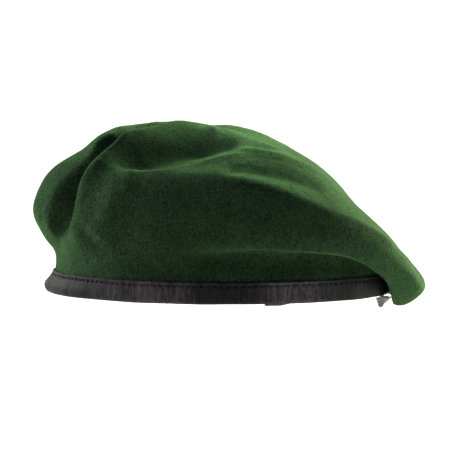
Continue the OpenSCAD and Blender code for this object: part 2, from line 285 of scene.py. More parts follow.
def swept(name, rings, closed=False):
    """A tube through rings of points. Its ends are capped unless it is closed."""
    rings = np.asarray(rings, float)
    n, sides = rings.shape[:2]
    faces = grid_faces(n, sides)
    if closed:
        last = (n - 1) * sides
        faces += [(last + i, last + (i + 1) % sides, (i + 1) % sides, i) for i in range(sides)]
    else:
        faces += [tuple(range(sides))[::-1], tuple(range((n - 1) * sides, n * sides))]
    return new_mesh(name, rings.reshape(-1, 3), faces)


# ---- Materials ----

# A wave texture's bands are x metres apart at the scale WAVE / x.
WAVE = 0.31
# Metres from the middle of the binding to its front and rear ends.
BAND_REACH = 0.105


def new_material(name):
    material = bpy.data.materials.new(name)
    material.use_nodes = True
    return material, material.node_tree.nodes["Principled BSDF"]


def node(material, kind, **settings):
    made = material.node_tree.nodes.new(kind)
    for key, value in settings.items():
        setattr(made, key, value)
    return made


def link(material, out, into):
    material.node_tree.links.new(out, into)


def object_coords(material, scale=(1, 1, 1), turn=(0, 0, 0)):
    coords = node(material, "ShaderNodeTexCoord")
    mapping = node(material, "ShaderNodeMapping")
    mapping.inputs["Scale"].default_value = scale
    mapping.inputs["Rotation"].default_value = [math.radians(a) for a in turn]
    link(material, coords.outputs["Object"], mapping.inputs["Vector"])
    return mapping.outputs["Vector"]


def noise_map(material, coords, size_mm, detail=3.0, roughness=0.55, distortion=0.0):
    """A noise texture with features of about that size."""
    made = node(material, "ShaderNodeTexNoise")
    made.inputs["Scale"].default_value = 1 / (size_mm * MM)
    made.inputs["Detail"].default_value = detail
    made.inputs["Roughness"].default_value = roughness
    made.inputs["Distortion"].default_value = distortion
    link(material, coords, made.inputs["Vector"])
    return made.outputs["Fac"]


def ramp(material, value, *stops):
    """Colours (r, g, b) at places from 0 to 1."""
    made = node(material, "ShaderNodeValToRGB")
    elements = made.color_ramp.elements
    while len(elements) < len(stops):
        elements.new(0.5)
    for element, (place, colour) in zip(elements, stops):
        element.position = place
        element.color = (*colour, 1)
    link(material, value, made.inputs["Fac"])
    return made.outputs["Color"]


def grey(v):
    return (v, v, v)


def mixed(material, a, b, factor=0.5, blend="MIX"):
    made = node(material, "ShaderNodeMix", data_type="RGBA", blend_type=blend)
    made.inputs[0].default_value = factor if isinstance(factor, (int, float)) else 0.5
    if not isinstance(factor, (int, float)):
        link(material, factor, made.inputs[0])
    link(material, a, made.inputs[6])
    link(material, b, made.inputs[7])
    return made.outputs[2]


def summed(material, a, b, share):
    """a + share * b, for two numbers."""
    made = node(material, "ShaderNodeMath", operation="MULTIPLY_ADD")
    link(material, b, made.inputs[0])
    made.inputs[1].default_value = share
    link(material, a, made.inputs[2])
    return made.outputs[0]


def bump(material, shader, height, depth_mm, strength=1.0):
    made = node(material, "ShaderNodeBump")
    made.inputs["Strength"].default_value = strength
    made.inputs["Distance"].default_value = depth_mm * MM
    link(material, height, made.inputs["Height"])
    link(material, made.outputs["Normal"], shader.inputs["Normal"])


def felt_material():
    """Fulled wool: matted fibres that run every way, with light ones on top."""
    m, shader = new_material("wool_felt")
    any_way = object_coords(m)
    one_way = object_coords(m, scale=(1, 0.35, 1), turn=(20, 35, 10))
    other_way = object_coords(m, scale=(1, 1, 0.3), turn=(-25, 10, 50))
    fine = noise_map(m, any_way, 0.9, 5, 0.7, 1.2)
    hairs = noise_map(m, one_way, 0.7, 3, 0.6, 2.0)
    more_hairs = noise_map(m, other_way, 0.8, 3, 0.6, 2.0)
    fibres = summed(m, fine, hairs, 0.5)
    fibres = summed(m, fibres, more_hairs, 0.5)
    colour = ramp(m, fibres, (0.78, (0.007, 0.013, 0.012)), (0.98, (0.018, 0.037, 0.034)),
                  (1.14, (0.064, 0.122, 0.050)))
    patches = ramp(m, noise_map(m, any_way, 14, 4, 0.6), (0.30, grey(0.80)), (0.70, grey(1.12)))
    link(m, mixed(m, colour, patches, 1.0, "MULTIPLY"), shader.inputs["Base Color"])
    shader.inputs["Roughness"].default_value = 0.95
    shader.inputs["Specular IOR Level"].default_value = 0.05
    link(m, ramp(m, fibres, (0.80, grey(0.10)), (1.15, grey(0.55))), shader.inputs["Sheen Weight"])
    shader.inputs["Sheen Roughness"].default_value = 0.45
    shader.inputs["Sheen Tint"].default_value = (0.30, 0.80, 0.26, 1)
    bump(m, shader, fibres, 0.5, 0.9)
    return m


def leather_material():
    """Thin black leather: fine grain, upright creases, a painted highlight tinged purple, a pale cut edge.
    """
    m, shader = new_material("binding_leather")
    coords = object_coords(m)
    creased = object_coords(m, scale=(1, 1, 0.16))
    grain = node(m, "ShaderNodeTexVoronoi")
    grain.inputs["Scale"].default_value = 1 / (0.75 * MM)
    link(m, coords, grain.inputs["Vector"])
    creases = noise_map(m, creased, 1.3, 4, 0.65, 0.6)
    wear_and_highlight_noise = noise_map(m, object_coords(m, scale=(1, 1, 0.4)), 17, 3, 0.6)
    place = node(m, "ShaderNodeSeparateXYZ")
    link(m, coords, place.inputs[0])
    along = node(m, "ShaderNodeMapRange")
    along.inputs["From Min"].default_value = -BAND_REACH
    along.inputs["From Max"].default_value = BAND_REACH
    link(m, place.outputs["X"], along.inputs["Value"])
    # painted highlight: how strong it is along the band, most at the front and behind the lap
    highlight_along_band = ramp(m, along.outputs["Result"], (0.0, grey(0.05)), (0.13, grey(0.20)), (0.28, grey(1.0)),
                   (0.37, grey(0.9)), (0.45, grey(0.18)), (0.60, grey(0.2)), (0.64, grey(1.0)),
                   (0.74, grey(0.95)), (0.83, grey(0.0)))
    # the painted highlight is patchy, after the creases and a coarse noise
    highlight_patches = ramp(m, summed(m, creases, wear_and_highlight_noise, 0.6), (0.55, grey(0.35)), (1.05, grey(1.4)))
    painted_highlight = mixed(m, highlight_along_band, highlight_patches, 1.0, "MULTIPLY")
    black = ramp(m, wear_and_highlight_noise, (0.3, (0.009, 0.009, 0.010)), (0.7, (0.014, 0.014, 0.015)))
    # the painted highlight's colour, tinged purple, mixed over the black
    purplish_highlight = ramp(m, creases, (0.3, (0.085, 0.075, 0.085)), (0.7, (0.18, 0.16, 0.18)))
    colour = mixed(m, black, purplish_highlight, painted_highlight)
    edge = node(m, "ShaderNodeMapRange")
    edge.inputs["From Min"].default_value = (OUTER_LEAF_H - 0.7) * MM
    edge.inputs["From Max"].default_value = (OUTER_LEAF_H - 0.1) * MM
    edge.inputs["To Max"].default_value = 0.5
    link(m, place.outputs["Z"], edge.inputs["Value"])
    cut = ramp(m, wear_and_highlight_noise, (0.3, (0.05, 0.045, 0.05)), (0.7, (0.11, 0.10, 0.11)))
    link(m, mixed(m, colour, cut, edge.outputs["Result"]), shader.inputs["Base Color"])
    link(m, ramp(m, summed(m, wear_and_highlight_noise, creases, 0.5), (0.35, grey(0.42)), (0.95, grey(0.66))),
         shader.inputs["Roughness"])
    shader.inputs["Specular IOR Level"].default_value = 0.18
    bump(m, shader, summed(m, creases, grain.outputs["Distance"], 0.35), 0.25, 0.8)
    return m


def woven_material(name, dark, light, size_mm, shine=0.0, roughness=0.85, turn=(0, 0, 0)):
    """A plain or ribbed weave in two shades."""
    m, shader = new_material(name)
    coords = object_coords(m, turn=turn)
    weave = node(m, "ShaderNodeTexWave", wave_type="BANDS", bands_direction="Z")
    weave.inputs["Scale"].default_value = WAVE / (size_mm * MM)
    weave.inputs["Distortion"].default_value = 0.6
    weave.inputs["Detail"].default_value = 1.0
    link(m, coords, weave.inputs["Vector"])
    cross = node(m, "ShaderNodeTexWave", wave_type="BANDS", bands_direction="DIAGONAL")
    cross.inputs["Scale"].default_value = WAVE / (size_mm * MM)
    cross.inputs["Distortion"].default_value = 0.6
    link(m, coords, cross.inputs["Vector"])
    both = summed(m, weave.outputs["Fac"], cross.outputs["Fac"], 0.6)
    patches = noise_map(m, coords, size_mm * 12, 3)
    colour = ramp(m, summed(m, both, patches, 0.6), (0.3, dark), (1.0, light))
    link(m, colour, shader.inputs["Base Color"])
    shader.inputs["Roughness"].default_value = roughness
    shader.inputs["Sheen Weight"].default_value = shine
    bump(m, shader, both, size_mm * 0.25, 0.6)
    return m


def thread_material():
    m, shader = new_material("black_thread")
    coords = object_coords(m, turn=(35, 25, 0))
    twist = node(m, "ShaderNodeTexWave", wave_type="BANDS", bands_direction="DIAGONAL")
    twist.inputs["Scale"].default_value = WAVE / (0.3 * MM)
    link(m, coords, twist.inputs["Vector"])
    colour = ramp(m, twist.outputs["Fac"], (0.0, grey(0.006)), (1.0, grey(0.03)))
    link(m, colour, shader.inputs["Base Color"])
    shader.inputs["Roughness"].default_value = 0.7
    bump(m, shader, twist.outputs["Fac"], 0.08)
    return m


def enamel_material():
    """Black enamel on brass, rubbed through in places."""
    m, shader = new_material("black_enamel")
    coords = object_coords(m)
    worn = noise_map(m, coords, 1.4, 5, 0.7)
    mask = ramp(m, worn, (0.60, grey(0.0)), (0.68, grey(1.0)))
    paint = ramp(m, worn, (0.3, grey(0.012)), (0.7, grey(0.025)))
    brass = ramp(m, worn, (0.3, (0.45, 0.30, 0.10)), (0.8, (0.60, 0.42, 0.16)))
    link(m, mixed(m, paint, brass, mask), shader.inputs["Base Color"])
    link(m, mask, shader.inputs["Metallic"])
    link(m, ramp(m, worn, (0.3, grey(0.28)), (0.7, grey(0.45))), shader.inputs["Roughness"])
    bump(m, shader, worn, 0.03)
    return m


def floor_material():
    """Pale, and shining behind the hat, so that the backdrop is white."""
    m, shader = new_material("pale_floor")
    shader.inputs["Base Color"].default_value = (0.58, 0.58, 0.58, 1)
    shader.inputs["Emission Color"].default_value = (1, 1, 1, 1)
    coords = node(m, "ShaderNodeTexCoord")
    split = node(m, "ShaderNodeSeparateXYZ")
    link(m, coords.outputs["Object"], split.inputs[0])
    behind = node(m, "ShaderNodeMapRange", interpolation_type="SMOOTHSTEP")
    behind.inputs["From Min"].default_value = 0.05
    behind.inputs["From Max"].default_value = 0.30
    behind.inputs["To Max"].default_value = 0.75
    link(m, split.outputs["Y"], behind.inputs["Value"])
    link(m, behind.outputs["Result"], shader.inputs["Emission Strength"])
    shader.inputs["Roughness"].default_value = 0.9
    return m


def finish_piece(piece, material, slot, body, *nodes):
    """What every piece needs: its material, its body and the CAD nodes it stands for. The slot is not used.
    """
    piece.data.materials.append(material)
    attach(piece, body)
    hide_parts(*nodes)
    return piece


# ---- The camera, where the hat was seen from, in metres and degrees ----

CAMERA_LENS = 173.9
CAMERA_DISTANCE = 1.3
CAMERA_ELEVATION = 5.5
CAMERA_ROLL = 0.25
CAMERA_TARGET = (0.0042, 0.0036, 0.0376)


def make_camera():
    camera = bpy.data.cameras.new("camera")
    camera.lens = CAMERA_LENS
    camera.sensor_width = 36
    camera.clip_start = 0.05
    eye = bpy.data.objects.new("camera", camera)
    bpy.context.scene.collection.objects.link(eye)
    elevation = math.radians(CAMERA_ELEVATION)
    eye.location = (0, -CAMERA_DISTANCE * math.cos(elevation), CAMERA_DISTANCE * math.sin(elevation))
    eye.rotation_euler = (Vector(CAMERA_TARGET) - eye.location).to_track_quat("-Z", "Y").to_euler()
    eye.rotation_euler.rotate_axis("Z", math.radians(CAMERA_ROLL))
    bpy.context.scene.camera = eye


# ---- The crown ----

CROWN_COLUMNS = 480
# How many rows of the mesh there are between each two rows of the crown's stations.
CROWN_ROW_STEPS = [4, 10, 18, 14, 18, 22, 24, 26]
# The mesh rows left to the apex where the normals start to turn upright, and how many rows they take.
UPRIGHT_FROM = 34
UPRIGHT_OVER = 20
# The inner face has one row for so many of the outer face.
INNER_ROW_STEP = 3
# The crown's inner face stays out of the lining's dome grown by this factor, above this height.
LINING_ROOM = 1.015
LINING_ROOM_Z = 20
# The felt's unevenness: how high and how wide its coarse and its fine bumps are.
COARSE_H = 0.45
COARSE_SIZE = 16
FINE_H = 0.16
FINE_SIZE = 4.5
# The felt is flat this near to a vent's middle, and as uneven as elsewhere from three times as far.
VENT_FLAT = 4


def crown_grid():
    s = np.arange(CROWN_COLUMNS) * len(STATIONS) / CROWN_COLUMNS
    u = [k + j / n for k, n in enumerate(CROWN_ROW_STEPS) for j in range(n)]
    return skin(s, u)


def from_line(points, line):
    """Each point's distance from a line of points, and how far along it the nearest place is, 0 to 1."""
    line = np.array(line, float)
    flat = points.reshape(-1, 3)
    best = np.full(len(flat), np.inf)
    place = np.zeros(len(flat))
    for k, (a, b) in enumerate(zip(line[:-1], line[1:])):
        t = np.clip((flat - a) @ (b - a) / ((b - a) @ (b - a)), 0, 1)
        d = np.linalg.norm(flat - a - t[:, None] * (b - a), axis=1)
        nearer = d < best
        best[nearer] = d[nearer]
        place[nearer] = (k + t[nearer]) / (len(line) - 1)
    return best.reshape(points.shape[:-1]), place.reshape(points.shape[:-1])


def ridge(points, line, width, sharp=False):
    """How high each point is on a ridge along a line, 0 to 1. It fades out at the line's ends."""
    d, place = from_line(points, line)
    fade = smooth(place / 0.15) * smooth((1 - place) / 0.15)
    d = d / width
    return fade * (np.exp(-np.sqrt(d * d + 0.04) * 1.4 + 0.28) if sharp else np.exp(-d * d))


# The folds of the crown: how far each lifts the felt, how wide it is, if it is sharp, and points along it.
FOLDS = [
    # the front lobe's rim, its flank, the groove of the fold, the fold's edge and the round behind it
    (4.0, 6, True, [
        (-58, -8, 92), (-66, -11, 88), (-73, -13, 84), (-79, -15, 79), (-87, -15, 72),
        (-95, -13, 64.5), (-100.5, -12, 54.5), (-102.5, -11, 46), (-100.5, -11, 37), (-97, -13, 29)]),
    (-6.5, 9, False, [
        (-56, -14, 91), (-64, -22, 85), (-72, -24, 77), (-80, -23.5, 67), (-85.5, -23, 57),
        (-89, -24, 47), (-92, -26, 39), (-93, -28, 32)]),
    (-5.0, 6, False, [
        (-40, 8, 97), (-48, 4, 96), (-54, -8, 94), (-58, -20, 90), (-62, -30, 84), (-66, -36, 77),
        (-71, -38, 67), (-75, -37, 57), (-81, -35, 46), (-87, -34, 36)]),
    (2.8, 6.5, True, [
        (-44, -10, 99), (-50, -26, 97), (-56, -40, 91), (-62, -45, 85), (-67, -51, 79),
        (-72, -54, 73), (-77, -53, 64), (-79, -52, 52), (-83, -49, 40), (-88, -46, 32)]),
    (3.5, 11, False, [
        (-52, -54, 80), (-56, -62, 71), (-58, -66, 60), (-60, -67, 52), (-64, -64, 42),
        (-70, -60, 32)]),
    # the ridge along the front half of the left side's top, the hollow behind it and the rise to the top
    (2.8, 9, True, [
        (-55, -63, 67), (-47, -66, 68.5), (-33, -70, 71.5), (-22, -69, 74), (-11, -67, 76.5),
        (3, -62, 80.5), (16, -56, 84)]),
    (-5.0, 13, False, [
        (-64, -44, 73), (-48, -40, 79), (-37, -38, 81), (-27, -35, 83), (-15, -35, 85),
        (4, -38, 86), (22, -37, 87), (36, -32, 87)]),
    (2.4, 12, False, [
        (-66, 6, 90), (-50, -4, 94), (-36, -6, 95), (-22, -6, 95), (-8, -5, 96), (2, -3, 96)]),
    # the ridge along its rear half, and the hollow between the two
    (3.2, 7, True, [
        (-8, -86, 65), (9, -88, 66), (20, -89, 64), (31, -89, 61), (44, -88, 56.5), (57, -86, 51),
        (70, -79, 46), (82, -72, 40), (94, -62, 33), (104, -48, 22)]),
    (-1.6, 7, False, [
        (0, -80, 75), (11, -80, 75), (21, -80, 73), (31, -79, 70), (45, -77, 66), (60, -71, 60)]),
    # the hollow under the lip of the undercut
    (-5.5, 5.0, False, [
        (-24, -88, 25), (0, -90, 25), (20, -88, 25), (38, -84, 24), (55, -76, 24), (70, -66, 22),
        (84, -54, 17)]),
]


def outward(grid):
    """The crown's outward normals. They turn upright on its last rows, where its columns meet."""
    rows = np.arange(len(grid)) - len(grid)
    upright = smooth((rows + UPRIGHT_FROM) / UPRIGHT_OVER)[:, None, None]
    return unit(grid_normals(grid) * (1 - upright) + upright * np.array([0, 0, 1.0]))


def folded(grid):
    """The crown with its ridges and hollows."""
    normals = outward(grid)
    lift = np.zeros(grid.shape[:2])
    for height, width, sharp, line in FOLDS:
        lift += height * ridge(grid, line, width, sharp)
    return clear_of_lining(grid + normals * lift[..., None], normals)


def clear_of_lining(grid, normals):
    """The crown moved out wherever its inner face would come too close to the lining's dome."""
    inner = np.abs(grid - FELT_T * normals)
    level = np.hypot(inner[..., 0] / (HEAD_LENGTH / 2), inner[..., 1] / (HEAD_WIDTH / 2))
    height = np.maximum(inner[..., 2] - LINING_Z, 0) / LINING_H
    field = (level**LINING_SQUARENESS + height**LINING_SQUARENESS) ** (1 / LINING_SQUARENESS)
    short = (LINING_ROOM - field) * HEAD_WIDTH / 2
    # never below 0, and without a corner where it starts
    push = (short + np.sqrt(short * short + 1)) / 2 * smooth((grid[..., 2] - LINING_ROOM_Z) / 12)
    return grid + unit(grid * (1, 1, 0)) * push[..., None]


def felted(grid):
    """The small unevenness of thick felt. It is flat under the vents."""
    above = smooth((grid[..., 2] - NECK_Z) / 8)[..., None]
    for station, row in VENTS:
        vent = skin(np.array([station]), [row])[0, 0]
        away = np.linalg.norm(grid - vent, axis=-1)
        above = above * smooth(away / (2 * VENT_FLAT) - 0.5)[..., None]
    lumps = COARSE_H * rough(grid, COARSE_SIZE) + FINE_H * rough(grid, FINE_SIZE, 7.1)
    return grid + outward(grid) * lumps[..., None] * above


def make_crown(felt):
    base = folded(crown_grid())
    outer = lean(felted(base))
    inner = lean((base - FELT_T * outward(base))[::INNER_ROW_STEP])
    piece = cloth_dome("felt_crown", outer, outer[-1].mean(0), inner, inner[-1].mean(0))
    return finish_piece(piece, felt, "felt", HAT, "crown_shell")


# ---- The binding ----

# How far the short strip stands off where it laps over the long one, and over how many degrees it sinks.
LAP_LIFT = 1.05 * LEATHER_T
LAP_FADE = 4
# Degrees between the sections of a strip.
STRIP_STEP = 0.27
THREAD_R = 0.28
# How deep the middle of a stitch lies in the leather's face.
STITCH_SINK = 0.12
# The heights of the fold's middle and of the section's points, which are closest at the stitches.
FOLD_Z = 2.5
OUTER_FACE_Z = [12, 11.6, 11.2, 10.9, 10.65, 10.4, 10.15, 9.9, 9.6, 9.2, 8.5, 7.5, 6.3, 5.1, 3.8]
INNER_FACE_Z = [4.5, 6.5, 8.5, 9.6, 10.1, 10.4, 10.7, 11.2, 12.2, 13.2]


def binding_section():
    """The folded strip's section as (offset, height) points: down the outer leaf's outside, round the fold
    and up the inner leaf, then back inside the fold to the outer leaf's top edge."""
    half = BINDING_T / 2
    outside = [(BINDING_T - 0.3, OUTER_LEAF_H)]
    outside += [(BINDING_T, z) for z in [OUTER_LEAF_H - 0.25] + OUTER_FACE_Z]
    inside = [(BINDING_T - LEATHER_T + 0.2, OUTER_LEAF_H)]
    inside += [(BINDING_T - LEATHER_T, z) for z in (12, 9, 6, 4)]
    for a in np.linspace(0, 180, 13):
        c, s = math.cos(math.radians(a)), math.sin(math.radians(a))
        outside.append((half + half * c, FOLD_Z - FOLD_Z * s**0.8))
    for a in np.linspace(0, 180, 7):
        c, s = math.cos(math.radians(a)), math.sin(math.radians(a))
        inside.append((half + (half - LEATHER_T) * c, FOLD_Z - (FOLD_Z - LEATHER_T) * s**0.8))
    outside += [(0, z) for z in INNER_FACE_Z]
    outside.append((0.25, INNER_LEAF_H))
    inside += [(LEATHER_T, z) for z in (6, 9, 12)]
    inside.append((LEATHER_T - 0.2, INNER_LEAF_H))
    return np.array(outside + inside[::-1])


def stitch_angles(from_phi, to_phi):
    """Ellipse parameters a stitch apart along the outer leaf."""
    phi = np.linspace(from_phi, to_phi, 2000)
    line = oval(BINDING_T, phi)
    length = np.concatenate([[0], np.cumsum(np.linalg.norm(np.diff(line, axis=0), axis=1))])
    count = int(length[-1] / STITCH_PITCH)
    return np.interp((np.arange(count) + 0.5) * length[-1] / count, length, phi)


def lap_lift(phi):
    """How far the short strip stands off at phi: most where it laps over the long one."""
    return LAP_LIFT * (1 - smooth((phi - SIDE_SEAM) / LAP_FADE))


def strip_grid(section, phi, lift):
    """The section at each of phi, lift further from its own middle, and the way out of the oval there."""
    middle = BINDING_T / 2
    away = np.clip((section[:, 0] - middle) / middle, -1, 1)[None, :]
    off = section[None, :, 0] + lift * away
    z = section[None, :, 1] - lift * np.clip(1 - section[None, :, 1] / 3, 0, 1)
    way = oval_out(phi)[:, None, :]
    xy = oval(0, phi)[:, None, :] + way * off[..., None]
    out = np.concatenate([np.repeat(way, len(section), 1), np.zeros((*off.shape, 1))], -1)
    return np.concatenate([xy, z[..., None]], -1), out


def stitch_furrow(section, phi, holes):
    """How deep the thread pulls both leaves in: a furrow, with a pit at each needle hole."""
    furrow = np.exp(-(((section[:, 1] - STITCH_Z) / 0.7) ** 2))[None, :]
    nearest = np.abs(phi[:, None] - holes[None, :]).min(1)[:, None]
    pit = np.exp(-((nearest / 0.32) ** 2))
    return furrow * (0.15 + 0.85 * pit)


def puckers(points, phi, front):
    """How far the leather stands out in waves, in small creases and in slanting pleats near the lap."""
    wavy = 0.22 * rough(points * (1, 1, 0.25), 7, 3.0)
    wavy += (0.10 + 0.22 * front) * rough(points * (1, 1, 0.15), 2.2, 5.0)
    pleats = np.sin((points[..., 0] * 0.75 + points[..., 2]) * 1.15 + 1.5 * rough(points, 9, 6.0))
    wavy += 0.28 * pleats * np.exp(-(((phi[:, None] - (SIDE_SEAM + 9)) / 9) ** 2))
    return wavy


def make_strip(name, from_phi, to_phi, grow, holes):
    """One strip of the binding. grow(phi) is how far it stands off where it laps over the other strip."""
    section = binding_section()
    phi = np.linspace(from_phi, to_phi, int((to_phi - from_phi) / STRIP_STEP) + 1)
    points, out = strip_grid(section, phi, grow(phi)[:, None])
    outer_leaf = (section[:, 0] > BINDING_T / 2 + 0.5)[None, :]
    inner_leaf = (section[:, 0] < BINDING_T / 2 - 0.5)[None, :]
    pulled = stitch_furrow(section, phi, holes)
    # the strip bulges at the front, where it leans back
    front = np.clip(-points[..., 0] / np.hypot(points[..., 0], points[..., 1]), 0, 1) ** 5
    bulge = 2.4 * front * np.exp(-(((section[:, 1] - 4.5) / 3.5) ** 2))[None, :]
    wavy = puckers(points, phi, front)
    moved = (wavy + bulge - pulled) * outer_leaf + (pulled * 0.8 + wavy * 0.5) * inner_leaf
    points += out * moved[..., None]
    # its edges aren't quite level, nor is its fold
    tops = np.clip((section[:, 1] - 6) / 6, 0, 1)[None, :]
    points[..., 2] += 0.30 * rough(points * (1, 1, 0), 11, 9.0) * tops
    points[..., 2] += 0.25 * rough(points * (1, 1, 0), 18, 2.0) * (1 - tops)
    return swept(name, lean(points))


def make_binding(leather):
    holes = stitch_angles(REAR_JOINT + REAR_GAP, REAR_JOINT - REAR_GAP + 360)
    long_strip = make_strip("binding_long", REAR_JOINT + REAR_GAP, SIDE_SEAM + 360, np.zeros_like, holes)
    finish_piece(long_strip, leather, "leather", HAT, "binding_long_strip")
    short_strip = make_strip("binding_short", SIDE_SEAM - LAP, REAR_JOINT - REAR_GAP, lap_lift, holes - 360)
    finish_piece(short_strip, leather, "leather", HAT, "binding_short_strip")


def capsule(a, b, radius, sides=8, caps=3):
    """Rings of points of a round-ended bar from a to b."""
    axis = unit(b - a)
    helper = np.array([0, 0, 1.0]) if abs(axis[2]) < 0.9 else np.array([1.0, 0, 0])
    p = unit(np.cross(axis, helper))
    q = np.cross(axis, p)
    turn = np.arange(sides) * 2 * math.pi / sides
    circle = np.cos(turn)[:, None] * p + np.sin(turn)[:, None] * q
    rings = []
    for t in np.linspace(0.06, 0.5, caps):
        k = math.sin(math.pi * t)
        rings.append(a + radius * k * circle - axis * radius * math.cos(math.pi * t))
    for t in np.linspace(0.5, 0.94, caps):
        k = math.sin(math.pi * t)
        rings.append(b + radius * k * circle - axis * radius * math.cos(math.pi * t))
    return np.array(rings)


def many_bars(name, bars, radius):
    """One mesh of many round-ended bars."""
    points, faces = [], []
    for a, b in bars:
        rings = capsule(np.asarray(a, float), np.asarray(b, float), radius)
        start = sum(len(p) for p in points)
        n, sides = rings.shape[:2]
        points.append(rings.reshape(-1, 3))
        faces += grid_faces(n, sides, start)
        faces += [tuple(range(start, start + sides))[::-1],
                  tuple(range(start + (n - 1) * sides, start + n * sides))]
    return new_mesh(name, np.vstack(points), faces)


def stitch_bars(holes, off, lift):
    """A bar between each two needle holes that are next to each other."""
    bars = []
    for a, b in zip(holes[:-1], holes[1:]):
        ends = []
        for share in (0.26, 0.74):
            phi = a + (b - a) * share
            base = oval(0, phi) + oval_out(phi) * (off + lift(phi))
            ends.append(lean(np.array([[*base, STITCH_Z]]))[0])
        bars.append(ends)
    return bars


def make_stitches(thread):
    """The two rows of thread through both leaves, and the stitches that hold the lap."""
    holes = stitch_angles(REAR_JOINT + REAR_GAP, REAR_JOINT - REAR_GAP + 360)

    def lift(phi):
        """How far the strip stands off at one phi from 0 to 360, where only the lap does."""
        back = phi - 360
        on_lap = (back > SIDE_SEAM - LAP) and (back < REAR_JOINT)
        return float(lap_lift(back)) if on_lap else 0.0

    outer = many_bars("needle_thread", stitch_bars(holes, BINDING_T - STITCH_SINK, lift), THREAD_R)
    finish_piece(outer, thread, "thread", HAT, "needle_thread_stitches")
    inner = many_bars("bobbin_thread", stitch_bars(holes, STITCH_SINK, lambda phi: -lift(phi)), THREAD_R)
    finish_piece(inner, thread, "thread", HAT, "bobbin_thread_stitches")
    phi = SIDE_SEAM - LAP + 1.1
    base = oval(0, phi) + oval_out(phi) * (BINDING_T + LEATHER_T)
    bars = [([*base, z], [*base, z + 1.9]) for z in (1.4, 4.4, 7.4)]
    lap = many_bars("lap_thread", bars, THREAD_R)
    finish_piece(lap, thread, "thread", HAT, "lap_stitches")


# ---- The drawstring ----

TAPE_W = 3.6
TAPE_T = 0.9
TAPE_UP = np.array([0, 0, 1.0])
# The knot's middle is this far outside the head opening, at this height.
KNOT_OUT = BINDING_T + 0.2
KNOT_Z = -1.9
# The wound tape: its size along the oval, out of it and up, and where it lies about the knot's middle.
KNOT_SCALE = (1.0, 0.60, 0.55)
KNOT_SHIFT = (0, 1.7, 0.9)
KNOT_TAPE_HALF_W = 1.15
KNOT_TAPE_HALF_T = 0.55
# The width that the tape is drawn in to where it enters the knot.
BUNCHED_W = 2.0
# The corners of the two trimmed ends: the root's two, then the tip's.
LEFT_TAIL = [(90.4, -35.7, -0.5), (97.6, -35.2, 0.7), (92.2, -35.3, -6.2), (94.6, -35.1, -6.0)]
RIGHT_TAIL = [(93.6, -31.4, -2.6), (98.4, -31.2, -2.5), (93.8, -31.0, -5.4), (95.2, -31.0, -5.2)]
TAIL_HALF_T = 0.3


def tape_rings(centres, width_ways, width, thickness, sides=16):
    """Rings of a flat tape with rounded edges along a path."""
    centres = np.asarray(centres, float)
    along = unit(np.gradient(centres, axis=0))
    wide = unit(np.asarray(width_ways, float))
    thick = unit(np.cross(along, wide))
    width = np.broadcast_to(width, len(centres))[:, None, None]
    turn = (np.arange(sides) + 0.5) * 2 * math.pi / sides
    c, s = np.cos(turn), np.sin(turn)
    x = np.sign(c) * np.abs(c) ** 0.35
    y = np.sign(s) * np.abs(s) ** 0.6
    return (centres[:, None, :] + width / 2 * x[None, :, None] * wide[:, None, :]
            + thickness / 2 * y[None, :, None] * thick[:, None, :])


def knot_place():
    """The knot's middle, and the directions along the oval and out of it there."""
    xy = oval(KNOT_OUT, REAR_JOINT)
    out = oval_out(REAR_JOINT)
    return np.array([*xy, KNOT_Z]), np.array([-out[1], out[0], 0]), np.array([*out, 0])


def tape_end(side, start):
    """The tape from its channel at start to the knot: its path, its width's directions and its widths."""
    centre, along, out = knot_place()
    t = np.linspace(0, 1, 14)[1:, None]
    bend = start + np.array([0, 0, -1.4]) + out * 0.3
    end = centre + along * side * 1.2 + np.array([0, 0, 0.6])
    line = (1 - t) ** 2 * start + 2 * t * (1 - t) * bend + t**2 * end
    return line, unit(TAPE_UP * (1 - t) + (along * side) * t), TAPE_W + (BUNCHED_W - TAPE_W) * t[:, 0]


def make_drawstring(tape):
    """The loop in its channel with both its ends, the knot, and the two trimmed ends below it."""
    middle = LEATHER_T + 1 + TAPE_T / 2
    z = LEATHER_T + 0.1 + TAPE_W / 2
    phi = np.linspace(REAR_JOINT + 1.0, REAR_JOINT + 359.0, 420)
    loop = np.concatenate([oval(middle, phi), np.full((len(phi), 1), z)], -1)
    first, first_ways, first_widths = tape_end(1, loop[0])
    last, last_ways, last_widths = tape_end(-1, loop[-1])
    path = np.vstack([first[::-1], loop, last])
    ways = np.vstack([first_ways[::-1], np.tile(TAPE_UP, (len(phi), 1)), last_ways])
    widths = np.concatenate([first_widths[::-1], np.full(len(phi), TAPE_W), last_widths])
    piece = swept("drawstring_tape", tape_rings(path, ways, widths, TAPE_T))
    finish_piece(piece, tape, "tape", HAT, "drawstring_loop")

    knot = swept("drawstring_knot_tape", knot_rings(), closed=True)
    finish_piece(knot, tape, "tape", HAT, "drawstring_knot")
    make_tail("tail_left", "left_tail", LEFT_TAIL, tape)
    make_tail("tail_right", "right_tail", RIGHT_TAIL, tape)


def knot_rings():
    """A flat tape wound as a trefoil, pulled tight."""
    centre, along, out = knot_place()
    t = np.linspace(0, 2 * math.pi, 160, endpoint=False)
    wound = np.stack([np.sin(t) + 2 * np.sin(2 * t), np.cos(t) - 2 * np.cos(2 * t), -np.sin(3 * t)], -1)
    wound = wound * KNOT_SCALE + KNOT_SHIFT
    path = centre + wound[:, :1] * along + wound[:, 1:2] * out + wound[:, 2:] * TAPE_UP
    tangent = unit(np.roll(path, -1, 0) - np.roll(path, 1, 0))
    side = unit(np.cross(tangent, TAPE_UP))
    up = np.cross(side, tangent)
    turn = np.arange(14) * 2 * math.pi / 14
    flat = np.sign(np.cos(turn)) * np.abs(np.cos(turn)) ** 0.6
    return (path[:, None, :] + KNOT_TAPE_HALF_W * flat[None, :, None] * side[:, None, :]
            + KNOT_TAPE_HALF_T * np.sin(turn)[None, :, None] * up[:, None, :])


